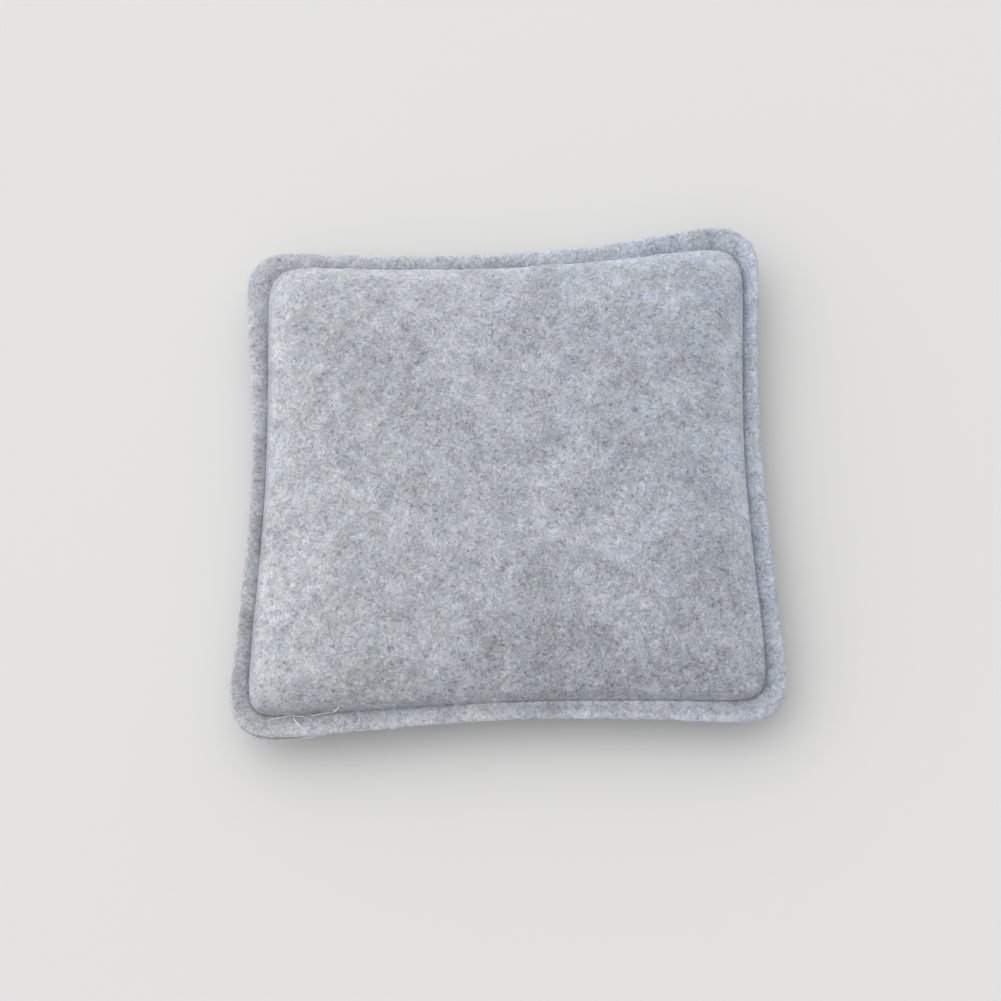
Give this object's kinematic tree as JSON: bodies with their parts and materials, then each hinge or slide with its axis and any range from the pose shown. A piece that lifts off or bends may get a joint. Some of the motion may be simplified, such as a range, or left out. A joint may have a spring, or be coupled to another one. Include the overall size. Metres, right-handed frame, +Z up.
{
  "type": "needle felting pad",
  "caption": "Square felt cushion, sewn together inside its cut edge round a wadding core: a springy base that a felting needle can pierce.",
  "frame": {"origin": "on the surface that the pad lies on, under the middle of its outline", "axes": "+Z up through the pad's thickness, +X to the right and +Y to the back as in the picture, front edge at -Y"},
  "size_m": [0.2032, 0.2046, 0.028],
  "materials": {
    "felt": "matte marled grey felt",
    "wadding": "matte needle-punched wadding",
    "thread": "satin sewing thread"
  },
  "bodies": {
    "root": {"top_panel": "felt", "bottom_panel": "felt", "lower_wadding": "wadding", "middle_wadding": "wadding", "upper_wadding": "wadding", "needle_thread": "thread", "bobbin_thread": "thread"}
  },
  "joints": []
}
